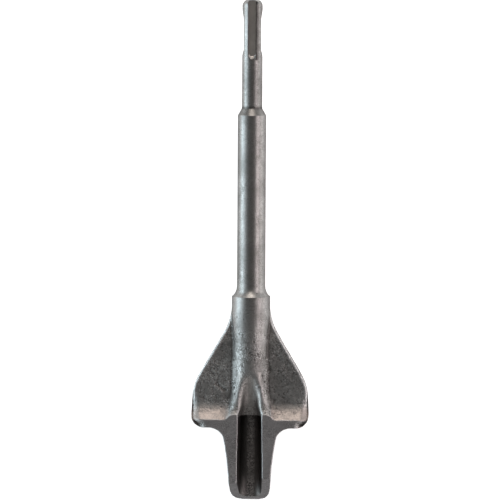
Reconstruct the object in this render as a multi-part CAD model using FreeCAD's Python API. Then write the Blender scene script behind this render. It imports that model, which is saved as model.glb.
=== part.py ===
import FreeCAD, Part
import os
from math import cos, sin, tan, pi, radians

os.makedirs("parts", exist_ok=True)

# Winged gouge chisel for a rotary hammer, forged in one piece. Millimetres.
# The tool's axis is the Y axis: the struck end of the shank is at the origin and faces +Y,
# and the blade points to -Y. The chip channel opens upwards, to +Z, and the tool lies on its back.
# A distance "along" the tool is measured from the struck end towards the blade.

# Shank, the plain round stem that the hammer's chuck takes
shank_diameter = 10.0
struck_face_diameter = 6.4
struck_end_round = 3.4
slot_end = 29.3
slot_width = 4.3
slot_floor_width = 3.5
slot_depth = 1.7
lock_groove_start = 4.7
lock_groove_end = 27.0
lock_groove_depth = 1.03
lock_groove_radius = 3.5
lock_groove_run_in = 3.6
lock_groove_run_out = 5.0
lock_groove_bulge = 0.77

# Stem, in two thicknesses below the shank
neck_end = 53.1
neck_fillet = 2.0
neck_cone_angle = 30.0
stem_diameter = 14.0
stem_end = 140.9
collar_fillet = 7.2
bar_diameter = 19.0
collar_edge = 0.3

# Gouge: the bar spreads into a round-backed trough with two legs
overall_length = 250.0
spread_start = 183.0
spread_end = 208.0
ground_height = 9.0
ground_start = 199.0
leg_root = 215.0
leg_root_width = 26.7
blade_width = 20.2
leg_taper_power = 2.1
ridge_dip = 1.5
ridge_rise_start = 201.6
shoulder_rise_start = 190.0
leg_swell_start = 198.0
back_squareness = 4.0
crest_squareness = 2.5
crest_stand = 2.5
section_steps = 32

# Chip channel and the scoop that leads out of it
channel_width = 12.9
channel_root_width = 11.6
channel_draft = 4.5
channel_corner_radius = 4.0
floor_thickness = 3.0
scoop_start = 183.8
scoop_end = 205.9

# Cutting bevel, ground by hand: longer on the right leg than on the left. It takes off the stock past the edge.
blade_stock = 6.0
bevel_length = 12.5
bevel_twist = 0.17

# Wings
wing_face_height = 4.4
wing_thickness = 5.0
wing_top = 148.7
wing_full_face = 168.2
wing_top_thickness = 0.6
wing_bottom = 211.0
wing_span = 59.0
flank_angle = 30.4
flank_start = 157.6
side_lean = 3.0
top_blend_radius = 30.0
shoulder_radius = 24.0
bottom_corner_radius = 6.5
web_radius = 8.0
web_reach = 6.4
web_bite = 0.8
web_thickness = 4.0
root_bite = 0.1
lip_start = 196.6
lip_radius = 13.6
lip_sweep = 48.0
lip_stock = 3.0

shank_radius = shank_diameter / 2
stem_radius = stem_diameter / 2
bar_radius = bar_diameter / 2
clear = bar_diameter


def place(across, along, height):
    return FreeCAD.Vector(across, -along, height)


def line(start, end):
    return Part.LineSegment(start, end).toShape()


def arc(start, middle, end):
    return Part.Arc(start, middle, end).toShape()


def rounded_outline(corners):
    """A closed outline through corners (point, radius), each corner rounded by a tangent arc."""
    spans = []
    count = len(corners)
    for index in range(count):
        before = corners[index - 1][0]
        corner, radius = corners[index]
        after = corners[(index + 1) % count][0]
        if radius == 0:
            spans.append((corner, corner, corner))
            continue
        into = (before - corner).normalize()
        out = (after - corner).normalize()
        half_angle = into.getAngle(out) / 2
        middle = (into + out).normalize()
        reach = radius / tan(half_angle)
        sagitta = radius / sin(half_angle) - radius
        spans.append((corner + into * reach, corner + middle * sagitta, corner + out * reach))
    edges = []
    for index in range(count):
        first, middle, last = spans[index]
        if first.distanceToPoint(last) > 1e-6:
            edges.append(arc(first, middle, last))
        edges.append(line(last, spans[(index + 1) % count][0]))
    return Part.Wire(edges)


def collar_along():
    """Where the hollow cone below the stem meets the bar."""
    rise = bar_radius - collar_edge - stem_radius
    return stem_end + (collar_fillet ** 2 - (collar_fillet - rise) ** 2) ** 0.5


def stem():
    """The turned stem: struck end, shank, a cone, the thicker stem and the hollow cone above the bar."""
    cone_angle = radians(neck_cone_angle)
    cone_length = (stem_radius - shank_radius) / tan(cone_angle)
    fillet_reach = neck_fillet * tan(cone_angle / 2)
    face_radius = struck_face_diameter / 2
    round_depth = (struck_end_round ** 2 - (face_radius - shank_radius + struck_end_round) ** 2) ** 0.5
    corner = place(shank_radius - struck_end_round, round_depth, 0)
    outward = (place(face_radius, 0, 0) - corner).normalize() + place(1, 0, 0)
    end_middle = corner + outward.normalize() * struck_end_round

    neck = place(shank_radius, neck_end, 0)
    cone = place(sin(cone_angle), cos(cone_angle), 0)
    neck_in = neck + place(0, -fillet_reach, 0)
    neck_out = neck + cone * fillet_reach
    neck_centre = neck_in + place(neck_fillet, 0, 0)
    toward = (neck - neck_centre).normalize()
    cone_foot = place(stem_radius, neck_end + cone_length, 0)

    rise = bar_radius - collar_edge - stem_radius
    half_run = (collar_fillet ** 2 - (collar_fillet - rise / 4) ** 2) ** 0.5
    collar_in = place(stem_radius, stem_end, 0)
    collar_middle = place(stem_radius + rise / 4, stem_end + half_run, 0)
    collar_out = place(stem_radius + rise, collar_along(), 0)

    profile = [
        line(place(0, 0, 0), place(face_radius, 0, 0)),
        arc(place(face_radius, 0, 0), end_middle, place(shank_radius, round_depth, 0)),
        line(place(shank_radius, round_depth, 0), neck_in),
        arc(neck_in, neck_centre + toward * neck_fillet, neck_out),
        line(neck_out, cone_foot),
        line(cone_foot, collar_in),
        arc(collar_in, collar_middle, collar_out),
        line(collar_out, place(0, collar_along(), 0)),
        line(place(0, collar_along(), 0), place(0, 0, 0)),
    ]
    return Part.Face(Part.Wire(profile)).revolve(place(0, 0, 0), FreeCAD.Vector(0, 1, 0), 360)


def drive_slot():
    """One of the two open slots that turn the tool: sloping walls, flat floor, round run-out."""
    floor = shank_radius - slot_depth
    half_top = slot_width / 2
    half_floor = slot_floor_width / 2
    slope = (half_top - half_floor) / slot_depth
    outside = shank_radius + slot_depth
    half_outside = half_top + slope * slot_depth
    section = Part.makePolygon([
        place(-half_floor, 0, floor), place(half_floor, 0, floor),
        place(half_outside, 0, outside), place(-half_outside, 0, outside),
        place(-half_floor, 0, floor)])
    run_out = slot_end - half_top
    trough = Part.Face(section).extrude(place(0, run_out, 0))
    end = Part.makeCone(half_floor, half_outside, outside - floor, place(0, run_out, floor))
    return trough.fuse(end)


def lock_groove():
    """One of the two closed grooves for the locking balls, on the right of the shank."""
    axis = shank_radius - lock_groove_depth + lock_groove_radius
    shallow = lock_groove_radius - lock_groove_depth
    full_from = lock_groove_start + lock_groove_run_in
    full_to = lock_groove_end - lock_groove_run_out
    run_in = arc(place(axis - shallow, lock_groove_start, 0),
                 place(axis - shallow - lock_groove_bulge, (lock_groove_start + full_from) / 2, 0),
                 place(axis - lock_groove_radius, full_from, 0))
    run_out = arc(place(axis - lock_groove_radius, full_to, 0),
                  place(axis - shallow - lock_groove_bulge, (full_to + lock_groove_end) / 2, 0),
                  place(axis - shallow, lock_groove_end, 0))
    profile = [
        line(place(axis, lock_groove_start, 0), place(axis - shallow, lock_groove_start, 0)),
        run_in,
        line(place(axis - lock_groove_radius, full_from, 0), place(axis - lock_groove_radius, full_to, 0)),
        run_out,
        line(place(axis - shallow, lock_groove_end, 0), place(axis, lock_groove_end, 0)),
        line(place(axis, lock_groove_end, 0), place(axis, lock_groove_start, 0)),
    ]
    return Part.Face(Part.Wire(profile)).revolve(place(axis, 0, 0), FreeCAD.Vector(0, 1, 0), 360)


def ease(along, start, end):
    """0 before start, 1 after end, and a smooth climb between them."""
    share = min(max((along - start) / (end - start), 0), 1)
    return share * share * (3 - 2 * share)


def trough_half_width(along):
    """Half the width of the trough: it swells to the legs' roots, then the legs taper to the blade."""
    tip = blade_width / 2
    root = leg_root_width / 2
    swell_length = leg_root - leg_swell_start
    leg_length = overall_length - leg_root
    if along < leg_root:
        share = max((along - leg_swell_start) / swell_length, 0)
        first_taper = leg_taper_power * (root - tip) / leg_length
        lead_in = first_taper * swell_length * share * share * (1 - share)
        return bar_radius + (root - bar_radius) * ease(along, leg_swell_start, leg_root) + lead_in
    share = max((overall_length - along) / leg_length, 0)
    return tip + (root - tip) * share ** leg_taper_power


def head_section(along):
    """The outline across the head: a circle in the bar, a square-shouldered U in the trough."""
    spread = ease(along, spread_start, spread_end)
    half_width = trough_half_width(along)
    widest = ground_height * ease(along, shoulder_rise_start, spread_end)
    dip = ridge_dip * ease(along, spread_start, ridge_rise_start)
    rise = (ground_height + crest_stand + ridge_dip - bar_radius) * ease(along, ridge_rise_start, spread_end)
    crest = bar_radius - dip + rise
    back_power = 2 + (back_squareness - 2) * spread
    crest_power = 2 + (crest_squareness - 2) * spread
    points = []
    for step in range(section_steps):
        angle = 2 * pi * step / section_steps + pi / 2
        up = sin(angle) > 0
        power = crest_power if up else back_power
        reach = crest - widest if up else bar_radius + widest
        squareness = (abs(cos(angle)) ** power + abs(sin(angle)) ** power) ** (-1 / power)
        across = half_width * squareness * cos(angle)
        points.append(place(across, along, widest + reach * squareness * sin(angle)))
    outline = Part.BSplineCurve()
    knots = [step / section_steps for step in range(section_steps + 1)]
    outline.interpolate(points, PeriodicFlag=True, Parameters=knots)
    return outline


def head_core():
    """The bar drawn out into the trough, as one smooth surface through its sections."""
    bends = [collar_along(), spread_start, spread_end, leg_root, overall_length + blade_stock]
    spans = [7, 8, 3, 8]
    stations = [bends[0]]
    for start, end, count in zip(bends, bends[1:], spans):
        stations += [start + (end - start) * (step + 1) / count for step in range(count)]
    sections = [head_section(along) for along in stations]
    knots = [(along - stations[0]) / (stations[-1] - stations[0]) for along in stations]
    streaks = []
    for poles in zip(*[section.getPoles() for section in sections]):
        streak = Part.BSplineCurve()
        streak.interpolate(poles, Parameters=knots)
        streaks.append(streak)
    along_tool = streaks[0]
    round_tool = sections[0]
    skin = Part.BSplineSurface()
    skin.buildFromPolesMultsKnots(
        [list(poles) for poles in zip(*[streak.getPoles() for streak in streaks])],
        along_tool.getMultiplicities(), round_tool.getMultiplicities(),
        along_tool.getKnots(), round_tool.getKnots(),
        False, True, along_tool.Degree, round_tool.Degree)
    caps = [Part.Face(Part.Wire(skin.uIso(end).toShape())) for end in (0, 1)]
    return Part.Solid(Part.Shell([skin.toShape()] + caps))


def wing_outline():
    """The two wings from the front, with the rounded webs that run into the legs."""
    flank = tan(radians(flank_angle))
    lean = tan(radians(side_lean))
    inner = bar_radius - root_bite
    top_corner = flank_start + (inner - bar_radius) / flank
    half_span = wing_span / 2
    side_at_top = half_span - lean * (wing_bottom - top_corner)
    shoulder = (side_at_top - inner) / (flank - lean)
    web_foot = wing_bottom + web_reach
    web_end = wing_bottom + 2 * web_radius
    leg_side = trough_half_width(web_foot)
    leg_slope = (leg_side - trough_half_width(web_end)) / (web_end - web_foot)
    dive = leg_slope * (web_end - web_foot) + web_bite
    half = [
        (place(inner, wing_top, 0), 0),
        (place(inner, top_corner, 0), top_blend_radius),
        (place(inner + flank * shoulder, top_corner + shoulder, 0), shoulder_radius),
        (place(half_span, wing_bottom, 0), bottom_corner_radius),
        (place(leg_side + leg_slope * (web_foot - wing_bottom), wing_bottom, 0), web_radius),
        (place(leg_side - dive, web_end, 0), 0),
    ]
    mirrored = [(FreeCAD.Vector(-point.x, point.y, point.z), radius) for point, radius in reversed(half)]
    return rounded_outline(half + mirrored)


def wing_profile():
    """The wings from the side: a tapered top, a flat, and a lower end that sweeps forward."""
    back = wing_face_height - wing_thickness
    centre = wing_face_height + lip_radius
    outer = lip_radius + wing_thickness
    web_end = wing_bottom + 2 * web_radius
    web_back = ground_height - web_thickness
    sweep = radians(lip_sweep)
    back_sweep = ((outer ** 2 - (centre - web_back) ** 2) ** 0.5)
    half_sweep = back_sweep / 2
    front_end = place(0, lip_start + lip_radius * sin(sweep), centre - lip_radius * cos(sweep))
    peak = front_end + place(0, cos(sweep), sin(sweep)) * lip_stock
    edges = [
        line(place(0, wing_top, wing_top_thickness / 2), place(0, wing_full_face, wing_face_height)),
        line(place(0, wing_full_face, wing_face_height), place(0, lip_start, wing_face_height)),
        arc(place(0, lip_start, wing_face_height),
            place(0, lip_start + lip_radius * sin(sweep / 2), centre - lip_radius * cos(sweep / 2)),
            front_end),
        line(front_end, peak),
        line(peak, place(0, web_end, peak.z)),
        line(place(0, web_end, peak.z), place(0, web_end, web_back)),
        line(place(0, web_end, web_back), place(0, lip_start + back_sweep, web_back)),
        arc(place(0, lip_start + back_sweep, web_back),
            place(0, lip_start + half_sweep, centre - (outer ** 2 - half_sweep ** 2) ** 0.5),
            place(0, lip_start, back)),
        line(place(0, lip_start, back), place(0, wing_full_face, back)),
        line(place(0, wing_full_face, back), place(0, wing_top, -wing_top_thickness / 2)),
        line(place(0, wing_top, -wing_top_thickness / 2), place(0, wing_top, wing_top_thickness / 2)),
    ]
    return Part.Wire(edges)


def wings():
    """Both wings as one plate, cut to its outline."""
    outline = Part.Face(wing_outline())
    outline.translate(FreeCAD.Vector(0, 0, -clear))
    blank = outline.extrude(FreeCAD.Vector(0, 0, 3 * clear))
    profile = Part.Face(wing_profile())
    profile.translate(FreeCAD.Vector(-wing_span, 0, 0))
    return profile.extrude(FreeCAD.Vector(2 * wing_span, 0, 0)).common(blank)


def channel_section(along, width):
    """The channel across the tool: drafted walls and a floor with rounded corners."""
    floor = floor_thickness - bar_radius
    top = 2 * bar_radius
    draft = tan(radians(channel_draft))
    half_floor = width / 2 - draft * (ground_height - floor)
    half_top = width / 2 + draft * (top - ground_height)
    return rounded_outline([
        (place(-half_floor, along, floor), channel_corner_radius),
        (place(half_floor, along, floor), channel_corner_radius),
        (place(half_top, along, top), 0),
        (place(-half_top, along, top), 0)])


def chip_channel():
    """The channel itself, from the foot of the scoop out through the blade."""
    widening = (channel_width - channel_root_width) / (overall_length - scoop_end)
    past = overall_length + clear
    return Part.makeLoft([
        channel_section(scoop_end, channel_root_width),
        channel_section(past, channel_width + widening * clear)], True, True)


def scoop():
    """The round-bottomed groove that climbs from the channel's floor to the top of the bar."""
    floor = floor_thickness - bar_radius
    climb = place(0, scoop_start - scoop_end, bar_radius - floor).normalize()
    out = climb.cross(FreeCAD.Vector(1, 0, 0))
    out = out if out.z > 0 else -out
    foot = place(0, scoop_end, floor)
    radius = channel_root_width / 2 - tan(radians(channel_draft)) * (ground_height - floor) / 2
    side = FreeCAD.Vector(radius, 0, 0)
    flare = FreeCAD.Vector(tan(radians(channel_draft)) * 3 * clear, 0, 0)
    start = foot - climb * clear
    section = Part.Wire([
        arc(start + out * radius - side, start, start + out * radius + side),
        line(start + out * radius + side, start + out * (radius + 3 * clear) + side + flare),
        line(start + out * (radius + 3 * clear) + side + flare, start + out * (radius + 3 * clear) - side - flare),
        line(start + out * (radius + 3 * clear) - side - flare, start + out * radius - side)])
    groove = Part.Face(section).extrude(climb * 4 * clear)
    keep = Part.makeBox(4 * clear, scoop_end, 4 * clear, place(-2 * clear, scoop_end, floor))
    return groove.common(keep)


def bevel_cut():
    """What the grinding of the cutting bevel takes off, in front of a slightly twisted face."""
    back = -bar_radius
    reach = 2 * clear

    def ground(across, height):
        slope = (bevel_length + bevel_twist * across) / (ground_height - back)
        return place(across, overall_length - slope * (height - back), height)

    low = line(ground(-reach, back - clear), ground(reach, back - clear))
    high = line(ground(-reach, ground_height + clear), ground(reach, ground_height + clear))
    return Part.makeRuledSurface(low, high).extrude(place(0, overall_length, 0))


def ground_cut():
    """What the grinding of the front flat takes off the legs and the wings' lower edges."""
    return Part.makeBox(4 * wing_span, overall_length, clear,
                        place(-2 * wing_span, ground_start + overall_length, ground_height))


def chisel():
    turned = stem()
    slot = drive_slot()
    groove = lock_groove()
    for tool, turns in ((slot, (0, 180)), (groove, (0, 180))):
        for turn in turns:
            cutter = tool.copy()
            cutter.rotate(place(0, 0, 0), FreeCAD.Vector(0, 1, 0), turn)
            turned = turned.cut(cutter)
    body = turned.fuse([head_core(), wings()])
    body = body.cut(ground_cut())
    body = body.cut([chip_channel(), scoop()])
    body = body.cut(bevel_cut())
    return body.removeSplitter().Solids[0]


chisel().exportStep("parts/chisel.step")
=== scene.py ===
import math

import bmesh
import bpy
import numpy as np
from mathutils import Matrix, Vector, kdtree, noise


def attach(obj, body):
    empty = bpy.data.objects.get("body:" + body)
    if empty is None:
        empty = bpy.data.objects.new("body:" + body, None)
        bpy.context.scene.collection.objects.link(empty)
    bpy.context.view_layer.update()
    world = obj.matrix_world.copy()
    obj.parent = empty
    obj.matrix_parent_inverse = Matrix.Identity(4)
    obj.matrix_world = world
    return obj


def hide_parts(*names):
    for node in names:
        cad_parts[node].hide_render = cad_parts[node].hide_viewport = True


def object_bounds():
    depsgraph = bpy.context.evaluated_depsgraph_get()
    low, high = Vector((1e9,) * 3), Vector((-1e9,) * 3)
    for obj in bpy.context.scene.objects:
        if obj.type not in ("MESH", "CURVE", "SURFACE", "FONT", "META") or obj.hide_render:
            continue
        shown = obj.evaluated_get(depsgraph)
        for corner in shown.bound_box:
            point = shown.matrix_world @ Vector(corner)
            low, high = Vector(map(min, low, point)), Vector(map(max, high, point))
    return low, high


# A winged gouge chisel for a rotary hammer, lying on its back. Metres, in the frame of the solid model:
# the axis is Y, the struck end is at the origin, the blade points to -Y and the chip channel opens to +Z.
# "along" is the distance from the struck end towards the blade.
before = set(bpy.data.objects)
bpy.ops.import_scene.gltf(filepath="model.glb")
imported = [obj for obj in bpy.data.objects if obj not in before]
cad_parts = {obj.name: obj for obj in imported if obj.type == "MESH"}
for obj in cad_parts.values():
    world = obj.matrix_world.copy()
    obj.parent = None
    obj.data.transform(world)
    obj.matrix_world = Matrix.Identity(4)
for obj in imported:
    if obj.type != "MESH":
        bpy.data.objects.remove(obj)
cad_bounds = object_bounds()
scene = bpy.context.scene
mm = 0.001


# The forging.
# The tool is one bar of tool steel, turned at the shank and drop-forged at the head, then shot-blasted.
# Its mesh follows the forging: rounded edges, a trim line round the wings, dents and a nicked edge.
# The front flat and the cutting bevel are ground afterwards, so they stay flat.
tool = bpy.data.objects.new("chisel_forging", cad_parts["chisel"].data.copy())
scene.collection.objects.link(tool)
seam = 150.0 * mm
merge_distance = 0.002 * mm


def ramp(value, start, end):
    """0 at start, 1 at end, and a smooth climb between them."""
    share = min(max((value - start) / (end - start), 0), 1)
    return share * share * (3 - 2 * share)


def cut(mesh, along, keep):
    """The part of a mesh that lies on the shank's side (keep 1) or the blade's side (keep -1) of a plane."""
    half = bmesh.new()
    half.from_mesh(mesh)
    bmesh.ops.remove_doubles(half, verts=half.verts, dist=merge_distance)
    bmesh.ops.bisect_plane(half, geom=half.verts[:] + half.edges[:] + half.faces[:],
                           plane_co=(0, -along, 0), plane_no=(0, -keep, 0), clear_outer=True)
    return half


# The turned half keeps the solid's own crisp faces. The cutter's worn corner leaves a short ramp at the end
# of each drive slot.
shank = cut(tool.data, seam, 1)
slot_ramp = 1.4 * mm
for vert in shank.verts:
    at_slot_end = 27.2 * mm < -vert.co.y < 29.6 * mm
    on_slot_floor = abs(vert.co.x) < 2 * mm and 3.1 * mm < abs(vert.co.z) < 3.45 * mm
    if at_slot_end and on_slot_floor:
        vert.co.y += slot_ramp

# Both locking grooves are milled wide enough to leave the shank a waist of 8.3 mm. The faces there are
# divided first, every half millimetre.
shank_radius = 5.0 * mm
waist_radius = 4.14 * mm
divided_end = 60 * mm
waist_step = 0.5 * mm
planes = [((0, -turn * waist_step, 0), (0, 1, 0)) for turn in range(7, 58)]
planes += [((side * waist_radius, 0, 0), (1, 0, 0)) for side in (-1, 1)]
for plane_place, plane_normal in planes:
    near = [vert for vert in shank.verts if -vert.co.y < divided_end]
    near += [part for part in [*shank.edges, *shank.faces]
             if min(-vert.co.y for vert in part.verts) < divided_end]
    bmesh.ops.bisect_plane(shank, geom=near, plane_co=plane_place, plane_no=plane_normal)
for vert in shank.verts:
    along = -vert.co.y / mm
    if along < 29:
        waisted = ramp(along, 3.6, 10.5) * (1 - ramp(along, 23.5, 28.0))
        half_width = shank_radius - (shank_radius - waist_radius) * waisted
        vert.co.x = min(max(vert.co.x, -half_width), half_width)
turned = bpy.data.meshes.new("turned")
shank.to_mesh(turned)
shank.free()

# The forged half becomes an even mesh that can be dented. It starts 2 mm early and is closed there.
blank = cut(tool.data, seam - 2 * mm, -1)
bmesh.ops.holes_fill(blank, edges=[edge for edge in blank.edges if edge.is_boundary])
bmesh.ops.recalc_face_normals(blank, faces=blank.faces)
blank.to_mesh(tool.data)
blank.free()
remesh = tool.modifiers.new("Remesh", "REMESH")
remesh.mode = "VOXEL"
remesh.voxel_size = 0.4 * mm
bpy.context.view_layer.update()
forged = bpy.data.meshes.new_from_object(tool.evaluated_get(bpy.context.evaluated_depsgraph_get()))
forged.name = "chisel_forging"
tool.modifiers.clear()
tool.data = forged

# The head is shaped in millimetres, from here until it is scaled back. Ground faces stay flat.
head = cut(forged, seam + 0.3 * mm, -1)
head.transform(Matrix.Scale(1 / mm, 4))
trim_line_highlight = head.verts.layers.float.new("trim_line_highlight")
valley = head.verts.layers.float.new("valley")
ground_height = 9.0
ground_start = 199.0
back_height = -9.5
blade_end = 250.0
bevel_slope = 12.5 / 18.5
bevel_twist = 0.17 / 18.5


def behind_bevel(x, y, z):
    """How far a place stands behind the ground bevel, along the tool."""
    return blade_end - (bevel_slope + bevel_twist * x) * (z - back_height) + y


def within(verts, along, across, above=-10.0):
    """The verts between two distances along the tool and two from its middle, above a height."""
    return [vert for vert in verts if along[0] < -vert.co.y < along[1]
            and across[0] <= abs(vert.co.x) < across[1] and vert.co.z > above]


def relax(verts, rounds):
    for turn in range(rounds):
        bmesh.ops.smooth_vert(head, verts=verts, factor=0.5,
                              use_axis_x=True, use_axis_y=True, use_axis_z=True)


# Forged edges are round. The scoop at the head of the channel is shallow, with sloped walls and round lips.
soft = [vert for vert in head.verts
        if -vert.co.y > 151 and behind_bevel(*vert.co) > 0.05
        and not (vert.co.z > ground_height - 0.05 and -vert.co.y > ground_start)]
relax(soft, 2)
relax(within(soft, (150, 206), (0, 12)), 6)
# The scoop's floor is marked as valley; the material paints light there.
for vert in within(soft, (183, 206), (0, 6), -7.2):
    along = -vert.co.y
    crest = 7.5 + 1.9 * (1 - ramp(along, 184, 194)) + 1.4 * ramp(along, 198, 205)
    if vert.co.z < crest:
        vert[valley] = ramp(crest - vert.co.z, 0.2, 1.6) * (1 - ramp(abs(vert.co.x), 5.3, 6))
        vert.co.z = crest - (crest - vert.co.z) * (1 - 0.38 * ramp(along, 185, 200))
        slope = ramp(crest - vert.co.z, 0, 2.4) * ramp(along, 184, 190) * (1 - ramp(along, 200, 206))
        vert.co.x *= 1 - 0.27 * slope
relax(within(soft, (176, 205.4), (0, 8.8), -2), 40)

# The dies' parting edge runs round the wings. Outside it the rim is rounded, most at the lower corners. A
# painted highlight goes along the trim line and on the side walls of the corners.
head.normal_update()
rim_places = []
for vert in head.verts:
    if -vert.co.y < 180:
        on_side = abs(vert.co.x) > 10.5
    else:
        on_side = abs(vert.co.x) > 20 and abs(vert.normal.x) > 0.5
    if on_side and -vert.co.y > 150 and abs(vert.normal.z) < 0.35:
        rim_places.append((vert.co.x, vert.co.y, 0))
rim = kdtree.KDTree(len(rim_places))
for index, rim_place in enumerate(rim_places):
    rim.insert(rim_place, index)
rim.balance()
rim_radius = 0.7
corner_radius = 5.0
line_inset = 0.85
line_width = 0.3
line_height = 0.18
for vert in head.verts:
    along = -vert.co.y
    if abs(vert.co.x) > 20 and vert.normal.z < 0.6 and abs(vert.normal.x) > 0.5:
        vert[trim_line_highlight] = 0.8 * ramp(along, 183, 189) * (1 - ramp(along, 206, 209))
    if along < 150 or abs(vert.co.x) < 10.2 or vert.normal.z < 0.3:
        continue
    inset = rim.find((vert.co.x, vert.co.y, 0))[2]
    corner = ramp(along, 189, 207)
    radius = rim_radius + (corner_radius - rim_radius) * corner
    if inset < radius:
        reach = radius - inset
        arc = radius - math.sqrt(radius * radius - reach * reach)
        vert.co.z -= 0.8 * (1 - corner) * arc + 0.48 * corner * reach * reach / radius
    line = math.exp(-((inset - line_inset) / line_width) ** 2) * (1 - ramp(along, 196, 204))
    vert[trim_line_highlight] = max(vert[trim_line_highlight], line)
    vert.co.z += line * line_height
relax(within(head.verts, (150, 251), (19, 30)), 2)

# The ridges' feet run out softly on the flat. The right leg has a nick in its edge.
relax(within(soft, (197, 208), (8.5, 16), 3), 40)
nick_place = Vector((11.6, -231.2))
nick_radius = 0.9
nick_depth = 0.45
for vert in head.verts:
    away = (vert.co.xy - nick_place).length / nick_radius
    if away < 2 and vert.co.z > 0:
        vert.co.x -= nick_depth * math.exp(-away * away)

# Single marks of the forging and of handling. Each is a dent along a short line: from (x, along) to
# (x, along), then half its width and its depth.
dents = (
    ((-16.6, 189.4), (-14.0, 191.4), 0.80, 0.34),
    ((-13.4, 192.2), (-12.2, 192.8), 0.80, 0.34),
    ((15.4, 202.6), (15.8, 204.0), 0.40, 0.22),
    ((21.8, 203.6), (22.0, 203.8), 0.40, 0.18),
    ((17.4, 203.4), (17.5, 203.5), 0.40, 0.14),
    ((-24.4, 203.4), (-24.2, 203.8), 0.40, 0.16),
    ((-19.6, 202.0), (-19.4, 202.2), 0.40, 0.14),
    ((-14.4, 203.2), (-14.2, 203.8), 0.40, 0.18),
    ((-24.0, 172.0), (-18.0, 165.0), 1.20, 0.15),
    ((13.0, 176.0), (19.0, 181.0), 1.60, 0.18),
    ((-12.5, 176.0), (-20.0, 183.0), 2.20, 0.20),
)
for vert in within(head.verts, (150, 251), (10, 30), 0):
    if vert.normal.z < 0.2:
        continue
    point = Vector((vert.co.x, -vert.co.y))
    for start, end, dent_radius, dent_depth in dents:
        run = Vector(end) - Vector(start)
        part = min(max((point - Vector(start)).dot(run) / run.length_squared, 0), 1)
        away = (point - Vector(start) - run * part).length / dent_radius
        if away < 2.5:
            vert.co.z -= dent_depth * math.exp(-away * away)

# The hammer and the dies leave the head uneven, in bumps of three sizes. The wings are worse than the bar.
coarse_bump = 6.0
middle_bump = 2.2
small_bump = 1.0
head.normal_update()
for vert in soft:
    along = -vert.co.y
    worked = ramp(along, 151.5, 172)
    if worked == 0 or behind_bevel(*vert.co) < 0.3:
        continue
    wing = ramp(abs(vert.co.x), 9, 12) * (1 - 0.75 * ramp(along, 196, 201))
    coarse = noise.noise(vert.co / coarse_bump)
    middle = noise.noise(vert.co / middle_bump + Vector((5, 3, 8)))
    small = noise.noise(vert.co / small_bump + Vector((2, 9, 4)))
    beaten_in = abs(coarse) * 0.20 + max(middle, 0) * 0.13 + max(small, 0) * 0.09
    vert.co -= vert.normal * beaten_in * worked * (0.45 + 0.55 * wing)

# Back in metres, the head is joined to the turned half. Only the turned half keeps sharp edges.
head.transform(Matrix.Scale(mm, 4))
head.from_mesh(turned)
bmesh.ops.bridge_loops(head, edges=[edge for edge in head.edges if edge.is_boundary])
bmesh.ops.recalc_face_normals(head, faces=head.faces)
for face in head.faces:
    face.smooth = True
sharp_angle = math.radians(28)
for edge in head.edges:
    on_head = all(-vert.co.y > seam + 0.1 * mm for vert in edge.verts)
    edge.smooth = on_head or edge.calc_face_angle(0) < sharp_angle
head.to_mesh(forged)
head.free()

# Marks for the material: how hollow or proud each place is, against the mesh smoothed over its neighbours,
# and which places are ground, swept forward or inside the channel.
count = len(forged.vertices)
places = np.empty(count * 3)
forged.vertices.foreach_get("co", places)
places = places.reshape(-1, 3) / mm
normals = np.empty(count * 3)
forged.vertex_normals.foreach_get("vector", normals)
normals = normals.reshape(-1, 3)
pairs = np.empty(len(forged.edges) * 2, dtype=int)
forged.edges.foreach_get("vertices", pairs)
pairs = pairs.reshape(-1, 2)
valence = np.bincount(pairs.ravel(), minlength=count)[:, None]
calm = places.copy()
for turn in range(24):
    total = np.zeros_like(calm)
    for axis in range(3):
        total[:, axis] = (np.bincount(pairs[:, 0], calm[pairs[:, 1], axis], count)
                          + np.bincount(pairs[:, 1], calm[pairs[:, 0], axis], count))
    calm = 0.4 * calm + 0.6 * total / valence
x, y, z = places.T
full_hollow = 0.25
hollow = ((calm - places) * normals).sum(1) / full_hollow * (-y > 151)
# The ledge at the foot of the scoop counts as hollow, so the material paints shade on the floor beside the
# step.
ledge_shade = (np.abs(x) < 5.2) & (-y > 203.8) & (-y < 207.5) & (z < 4)
hollow[ledge_shade] = 0.6
is_flat = (z > ground_height - 0.12) & (-y > ground_start) & (normals[:, 2] > 0.8)
is_bevel = behind_bevel(x, y, z) < 0.15
# The ramps where the wings sweep forward are marked for a painted highlight.
is_swept = (-y > ground_start) & (-y < 207.2) & (np.abs(x) > 10.5) & (z > 4) & (z < 8.8)
in_channel = (np.abs(x) < 6.8) & (-y > 205.6) & (z > -7.2) & (z < 8.8) & ~is_bevel
marks = (
    ("hollow", np.clip(hollow, -1, 1)),
    ("ground_flat", is_flat),
    ("ground_bevel", is_bevel),
    ("swept", is_swept * np.clip((-y - ground_start) / 4, 0, 1)),
    ("channel", in_channel),
)
for name, value in marks:
    mark = forged.attributes.new(name, "FLOAT", "POINT")
    mark.data.foreach_set("value", value.astype(np.float32))

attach(tool, "root")
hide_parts("chisel")


# The skin.
# Shot-blasted forging skin: dark grey tool steel, peened all over, finer on the turned stem than on the head.
# Scale and painted shade darken the hollows, painted shade darkens the channel, proud edges are rubbed
# bright, painted highlights lie on the trim line, the scoop and the swept ramps, and the ground faces are
# smooth.
def group(name, inputs, outputs):
    """An empty shader group with these float sockets, and its ends."""
    made = bpy.data.node_groups.new(name, "ShaderNodeTree")
    for label in inputs:
        made.interface.new_socket(label, in_out="INPUT", socket_type="NodeSocketFloat")
    for label in outputs:
        made.interface.new_socket(label, in_out="OUTPUT", socket_type="NodeSocketFloat")
    return made, made.nodes.new("NodeGroupInput").outputs, made.nodes.new("NodeGroupOutput").inputs


def feed(tree, value, socket):
    """Links an output to a socket, or sets a number or a colour there."""
    if isinstance(value, bpy.types.NodeSocket):
        tree.links.new(value, socket)
    else:
        socket.default_value = value


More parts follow.
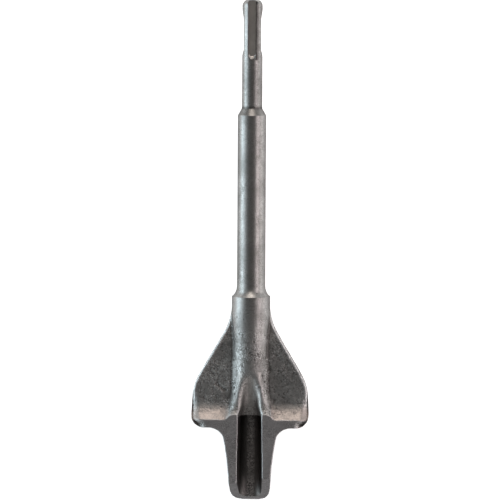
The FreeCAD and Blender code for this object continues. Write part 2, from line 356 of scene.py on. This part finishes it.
def calculate(tree, operation, first, second=None, clamp=False):
    """A Math node. Each side is a socket or a number."""
    node = tree.nodes.new("ShaderNodeMath")
    node.operation = operation
    node.use_clamp = clamp
    feed(tree, first, node.inputs[0])
    if second is not None:
        feed(tree, second, node.inputs[1])
    return node.outputs["Value"]


def times(tree, first, second):
    return calculate(tree, "MULTIPLY", first, second)


def stretch(tree, value, low, high, start=0.0, end=1.0):
    """A Map Range node from low..high to start..end."""
    node = tree.nodes.new("ShaderNodeMapRange")
    tree.links.new(value, node.inputs["Value"])
    for label, number in zip(("From Min", "From Max", "To Min", "To Max"), (low, high, start, end)):
        node.inputs[label].default_value = number
    return node.outputs["Result"]


def cloud(tree, place, scale, detail=2.0):
    """A Noise node. Its scale is a socket or a number."""
    node = tree.nodes.new("ShaderNodeTexNoise")
    node.inputs["Detail"].default_value = detail
    tree.links.new(place, node.inputs["Vector"])
    feed(tree, scale, node.inputs["Scale"])
    return node.outputs["Fac"]


def tint(tree, first, second, share):
    """A colour Mix node. Each colour is a socket or a plain colour."""
    node = tree.nodes.new("ShaderNodeMix")
    node.data_type = "RGBA"
    tree.links.new(share, node.inputs["Factor"])
    for label, value in (("A", first), ("B", second)):
        feed(tree, (*value, 1) if isinstance(value, tuple) else value, node.inputs[label])
    return node.outputs["Result"]


def attribute(tree, name):
    node = tree.nodes.new("ShaderNodeAttribute")
    node.attribute_name = name
    return node.outputs["Fac"]


# Shot-blasting: fine and coarse blows in uneven zones, scattered pits and single bright flecks.
speckle, speckle_in, speckle_out = group("blast_speckle", ("Size", "Pit Size"), ("Grain", "Pits", "Flecks"))
place = speckle.nodes.new("ShaderNodeTexCoord").outputs["Object"]
peen = cloud(speckle, place, speckle_in["Size"], 1.0)
blows = cloud(speckle, place, times(speckle, speckle_in["Size"], 0.32))
zones = cloud(speckle, place, 150.0)
both = calculate(speckle, "ADD", times(speckle, stretch(speckle, peen, 0.28, 0.72), 0.62),
                 times(speckle, stretch(speckle, blows, 0.28, 0.72), 0.38))
uneven = times(speckle, calculate(speckle, "SUBTRACT", both, 0.5),
               stretch(speckle, zones, 0.38, 0.62, 0.5, 1.6))
speckle.links.new(calculate(speckle, "ADD", uneven, 0.5, clamp=True), speckle_out["Grain"])
flecks = times(speckle, stretch(speckle, peen, 0.58, 0.68), stretch(speckle, zones, 0.44, 0.56))
speckle.links.new(flecks, speckle_out["Flecks"])
craters = speckle.nodes.new("ShaderNodeTexVoronoi")
speckle.links.new(place, craters.inputs["Vector"])
speckle.links.new(speckle_in["Pit Size"], craters.inputs["Scale"])
pitted = stretch(speckle, cloud(speckle, place, 240.0), 0.45, 0.62)
pits = times(speckle, stretch(speckle, craters.outputs["Distance"], 0.36, 0.12), pitted)
speckle.links.new(pits, speckle_out["Pits"])

# Scale and wear, with painted shade: scale in patches, the hollows darkened as scale and painted shade, and
# proud places rubbed bright.
scale_shade_wear, scale_shade_wear_in, scale_shade_wear_out = group("scale_shade_and_wear", ("Hollow", "Grain"), ("Scale", "Rubbed"))
place = scale_shade_wear.nodes.new("ShaderNodeTexCoord").outputs["Object"]
patches = stretch(scale_shade_wear, cloud(scale_shade_wear, place, 85.0, 4.0), 0.42, 0.66, 0.0, 0.5)
scale_and_shade_in_hollows = times(scale_shade_wear, stretch(scale_shade_wear, scale_shade_wear_in["Hollow"], 0.05, 0.45),
                   stretch(scale_shade_wear, scale_shade_wear_in["Grain"], 1.0, 0.0, 0.55, 1.0))
scale_shade_wear.links.new(calculate(scale_shade_wear, "ADD", scale_and_shade_in_hollows, patches, clamp=True), scale_shade_wear_out["Scale"])
proud = times(scale_shade_wear, stretch(scale_shade_wear, scale_shade_wear_in["Hollow"], -0.15, -0.8),
              stretch(scale_shade_wear, scale_shade_wear_in["Grain"], 0.1, 0.8, 0.4, 1.0))
scale_shade_wear.links.new(proud, scale_shade_wear_out["Rubbed"])

steel = bpy.data.materials.new("forged_steel")
steel.use_nodes = True
tree = steel.node_tree
shader = tree.nodes["Principled BSDF"]
shader.inputs["Metallic"].default_value = 1.0
shader.inputs["Specular Tint"].default_value = (0.42, 0.42, 0.42, 1)
steel_axes = tree.nodes.new("ShaderNodeSeparateXYZ")
tree.links.new(tree.nodes.new("ShaderNodeTexCoord").outputs["Object"], steel_axes.inputs["Vector"])
steel_x, steel_y, steel_z = (steel_axes.outputs[label] for label in "XYZ")
from_middle = calculate(tree, "ABSOLUTE", steel_x)
forged_share = stretch(tree, steel_y, -143 * mm, -172 * mm)


def blasted(size, pit_size):
    """The steel's speckle with a grain and pits of these scales."""
    node = tree.nodes.new("ShaderNodeGroup")
    node.node_tree = speckle
    node.inputs["Size"].default_value = size
    node.inputs["Pit Size"].default_value = pit_size
    return node.outputs


fine = blasted(1900.0, 620.0)
rough = blasted(1500.0, 420.0)
flat = attribute(tree, "ground_flat")
bevel = attribute(tree, "ground_bevel")
swept = attribute(tree, "swept")
ground = calculate(tree, "MAXIMUM", flat, bevel)
peened = calculate(tree, "SUBTRACT", 1.0, ground, clamp=True)
peened_head = times(tree, forged_share, peened)
head_pits = times(tree, rough["Pits"], peened_head)
grain_mix = tree.nodes.new("ShaderNodeMix")
tree.links.new(peened_head, grain_mix.inputs["Factor"])
tree.links.new(fine["Grain"], grain_mix.inputs["A"])
tree.links.new(rough["Grain"], grain_mix.inputs["B"])
grain = grain_mix.outputs["Result"]
worn_and_shaded = tree.nodes.new("ShaderNodeGroup")
worn_and_shaded.node_tree = scale_shade_wear
tree.links.new(attribute(tree, "hollow"), worn_and_shaded.inputs["Hollow"])
tree.links.new(grain, worn_and_shaded.inputs["Grain"])
# This darkening is real scale and also painted shade in the hollows.
scale = worn_and_shaded.outputs["Scale"]
rubbed_and_highlights = calculate(tree, "MAXIMUM", worn_and_shaded.outputs["Rubbed"], attribute(tree, "trim_line_highlight"))
# Painted highlights on the swept ramps and in the scoop join the rubbed places.
for name, share in (("swept", 0.32), ("valley", 0.8)):
    painted_highlight = stretch(tree, grain, 0.0, 1.0, share * 0.35, share * 1.3)
    rubbed_and_highlights = calculate(tree, "MAXIMUM", rubbed_and_highlights, times(tree, attribute(tree, name), painted_highlight))

# The blasted steel, with scale and painted shade in its hollows, and painted shade in the turned corner under
# the shank and on its cone.
scale_and_shade_grey = (0.06, 0.057, 0.054)
dull = tint(tree, (0.20, 0.196, 0.192), (0.12, 0.117, 0.114), forged_share)
bright = tint(tree, (0.38, 0.38, 0.375), (0.47, 0.47, 0.465), forged_share)
colour = tint(tree, dull, bright, grain)
scale_and_shade_share = times(tree, scale, stretch(tree, swept, 0.0, 1.0, 0.8, 0.35))
colour = tint(tree, colour, scale_and_shade_grey, scale_and_shade_share)
from_neck = calculate(tree, "ABSOLUTE", calculate(tree, "ADD", steel_y, 52.9 * mm))
neck_corner = stretch(tree, from_neck, 1.1 * mm, 0.4 * mm)
neck_cone = times(tree, stretch(tree, steel_y, -52.6 * mm, -53.2 * mm),
                  stretch(tree, steel_y, -56.6 * mm, -56.1 * mm))
neck_painted_shade = calculate(tree, "MAXIMUM", times(tree, neck_corner, 0.7), times(tree, neck_cone, 0.25))
colour = tint(tree, colour, scale_and_shade_grey, neck_painted_shade)

# The drive slots' floors are milled clean. The front slot's right wall is painted dark as shade.
in_slot = times(tree, stretch(tree, steel_y, -29.6 * mm, -29.2 * mm),
                stretch(tree, steel_y, -0.4 * mm, -0.8 * mm))
slot_floor = times(tree, stretch(tree, from_middle, 1.85 * mm, 1.75 * mm),
                   stretch(tree, calculate(tree, "ABSOLUTE", steel_z), 3.6 * mm, 3.4 * mm))
milled = times(tree, in_slot, slot_floor)
colour = tint(tree, colour, (0.56, 0.53, 0.50), times(tree, milled, 0.85))
slot_wall_shade = times(tree, stretch(tree, steel_x, 1.78 * mm, 1.86 * mm),
                  stretch(tree, steel_x, 3.6 * mm, 2.1 * mm, 0.0, 0.95))
slot_wall_shade = times(tree, slot_wall_shade, stretch(tree, steel_z, 3.2 * mm, 3.4 * mm))
colour = tint(tree, colour, (0.02, 0.019, 0.018), times(tree, in_slot, slot_wall_shade))

# Pits, rubbed places with painted highlights, and flecks. The left of the head has more flecks than the
# right.
colour = tint(tree, colour, (0.03, 0.028, 0.026), times(tree, head_pits, 0.8))
colour = tint(tree, colour, (0.62, 0.63, 0.64), times(tree, rubbed_and_highlights, 0.7))
fleck_share = times(tree, forged_share, stretch(tree, steel_x, 4 * mm, -6 * mm, 0.15, 0.25))
fleck_share = times(tree, times(tree, rough["Flecks"], fleck_share), peened)
colour = tint(tree, colour, (0.80, 0.83, 0.86), fleck_share)
# Painted light in the scoop: its floor is lightened to a brownish grey.
colour = tint(tree, colour, (0.36, 0.325, 0.30), times(tree, attribute(tree, "valley"), 0.4))
# Painted highlight on the swept ramps: warm beige, as if they caught the warm light past the shank.
swept_highlight_share = times(tree, swept, stretch(tree, grain, 0.1, 0.7, 0.35, 0.75))
colour = tint(tree, colour, (0.35, 0.295, 0.268), swept_highlight_share)

# The channel is painted dark as shade in its deep recess, apart from a lighter strip along its floor. The
# ground faces are even.
strip = times(tree, stretch(tree, from_middle, 2.2 * mm, 1.0 * mm),
              stretch(tree, steel_z, -5.0 * mm, -5.8 * mm))
strip_share = times(tree, strip, stretch(tree, grain, 0.3, 0.85))
channel_shade = tint(tree, (0.13, 0.123, 0.12), (0.50, 0.475, 0.465), strip_share)
colour = tint(tree, colour, channel_shade, attribute(tree, "channel"))
colour = tint(tree, colour, tint(tree, (0.20, 0.194, 0.196), (0.50, 0.488, 0.492), grain), flat)
colour = tint(tree, colour, tint(tree, (0.115, 0.112, 0.113), (0.21, 0.204, 0.206), grain), bevel)
tree.links.new(colour, shader.inputs["Base Color"])
sheen = calculate(tree, "ADD", stretch(tree, grain, 0.0, 1.0, 0.40, 0.28),
                  stretch(tree, forged_share, 0.0, 1.0, 0.0, 0.1))
tree.links.new(calculate(tree, "ADD", sheen, times(tree, scale, 0.12)), shader.inputs["Roughness"])

# The grain and the pits stand in relief, deepest on the left wing and almost flat on the ground faces.
beaten = calculate(tree, "ADD", stretch(tree, steel_x, -9 * mm, -12 * mm, 0.5, 0.62),
                   stretch(tree, steel_x, 9 * mm, 12 * mm, 0.0, -0.1))
relief = times(tree, grain, calculate(tree, "ADD", times(tree, forged_share, beaten), 0.25))
relief = calculate(tree, "SUBTRACT", relief, head_pits)
relief = times(tree, relief, stretch(tree, ground, 0.0, 1.0, 1.0, 0.12))
bump = tree.nodes.new("ShaderNodeBump")
bump.inputs["Strength"].default_value = 0.9
bump.inputs["Distance"].default_value = 0.16 * mm
tree.links.new(relief, bump.inputs["Height"])
tree.links.new(bump.outputs["Normal"], shader.inputs["Normal"])
forged.materials.clear()
forged.materials.append(steel)


# The floor.
# A plain white table top under the tool. It shows white where the camera or the steel sees it past its own
# lit colour, and it keeps the tool's soft shadow.
floor_mesh = bpy.data.meshes.new("floor")
low = cad_bounds[0].z
half_side = 3.0
corners = [(side_x * half_side, side_y * half_side, low)
           for side_x, side_y in ((-1, -1), (1, -1), (1, 1), (-1, 1))]
floor_mesh.from_pydata(corners, [], [(0, 1, 2, 3)])
floor = bpy.data.objects.new("floor", floor_mesh)
scene.collection.objects.link(floor)
pale = bpy.data.materials.new("floor_white")
pale.use_nodes = True
floor_tree = pale.node_tree
table_top = floor_tree.nodes["Principled BSDF"]
table_top.inputs["Base Color"].default_value = (0.9, 0.9, 0.9, 1)
table_top.inputs["Roughness"].default_value = 0.7
table_top.inputs["Specular IOR Level"].default_value = 0.0
path = floor_tree.nodes.new("ShaderNodeLightPath")
seen = calculate(floor_tree, "MAXIMUM", path.outputs["Is Camera Ray"], path.outputs["Is Glossy Ray"])
seen = calculate(floor_tree, "MAXIMUM", seen, path.outputs["Is Transmission Ray"])
white = floor_tree.nodes.new("ShaderNodeEmission")
blend = floor_tree.nodes.new("ShaderNodeAddShader")
floor_tree.links.new(times(floor_tree, seen, 0.72), white.inputs["Strength"])
floor_tree.links.new(table_top.outputs["BSDF"], blend.inputs[0])
floor_tree.links.new(white.outputs["Emission"], blend.inputs[1])
floor_tree.links.new(blend.outputs["Shader"], floor_tree.nodes["Material Output"].inputs["Surface"])
floor_mesh.materials.append(pale)


# The light.
# Soft studio light: two cool softboxes on the left, two warm ones on the right and a warm one past the shank.
# The camera's side stays dark, which gives the round stem its dark middle. Each softbox has its place, its
# width and height, its power and its colour.
softboxes = (
    ("cool_left", (-0.80, -0.12, 0.12), (1.1, 0.50), 5.5, (0.80, 0.97, 1.05)),
    ("cool_left_high", (-0.66, -0.12, 0.47), (1.1, 0.30), 0.95, (0.86, 0.97, 1.03)),
    ("warm_right_high", (0.62, -0.12, 0.46), (1.1, 0.30), 2.5, (1.0, 0.88, 0.88)),
    ("warm_right_low", (0.85, -0.12, 0.06), (1.1, 0.16), 1.4, (1.0, 0.92, 0.90)),
    ("warm_shank_side", (0.0, 0.72, 0.48), (0.45, 0.75), 3.5, (1.0, 0.90, 0.82)),
)
lit_place = Vector((0, -0.15, 0))
for name, lamp_place, lamp_size, power, shade in softboxes:
    lamp = bpy.data.lights.new(name, "AREA")
    lamp.shape = "RECTANGLE"
    lamp.size, lamp.size_y = lamp_size
    lamp.energy = power
    lamp.color = shade
    stand = bpy.data.objects.new(name, lamp)
    stand.location = lamp_place
    stand.rotation_euler = (Vector(lamp_place) - lit_place).to_track_quat("Z", "Y").to_euler()
    scene.collection.objects.link(stand)

world = bpy.data.worlds.new("studio")
scene.world = world
world.use_nodes = True
sky = world.node_tree
sky_axes = sky.nodes.new("ShaderNodeSeparateXYZ")
sky.links.new(sky.nodes.new("ShaderNodeTexCoord").outputs["Generated"], sky_axes.inputs["Vector"])
glow = stretch(sky, sky_axes.outputs["Z"], 0.1, 0.95, 0.55, 0.12)
sky.links.new(glow, sky.nodes["Background"].inputs["Strength"])
sky.nodes["Background"].inputs["Color"].default_value = (1.0, 0.985, 0.96, 1)


# The camera.
# It looks down on the tool from 1.25 m, 4.9 degrees from the shank's side and 2.6 degrees from the right.
# It leans 0.3 degrees and stands 0.64 mm to the left of its aim.
aim = Vector((0, -0.1232, 0))
distance = 1.25
shift_left = 0.64 * mm
to_shank = math.radians(4.93)
to_right = math.radians(2.6)
lean = math.radians(0.315)
right = Vector((math.cos(to_right), 0, -math.sin(to_right)))
toward = Vector((math.cos(to_shank) * math.sin(to_right), math.sin(to_shank),
                 math.cos(to_shank) * math.cos(to_right)))
up = toward.cross(right)
leaning_right = right * math.cos(lean) + up * math.sin(lean)
leaning_up = up * math.cos(lean) - right * math.sin(lean)
lens = bpy.data.cameras.new("camera")
lens.sensor_width = 36
lens.lens = 181.8
camera = bpy.data.objects.new("camera", lens)
camera.location = aim + toward * distance - leaning_right * shift_left
camera.rotation_euler = Matrix((leaning_right, leaning_up, toward)).transposed().to_euler()
scene.collection.objects.link(camera)
scene.camera = camera

scene.view_settings.view_transform = "Standard"
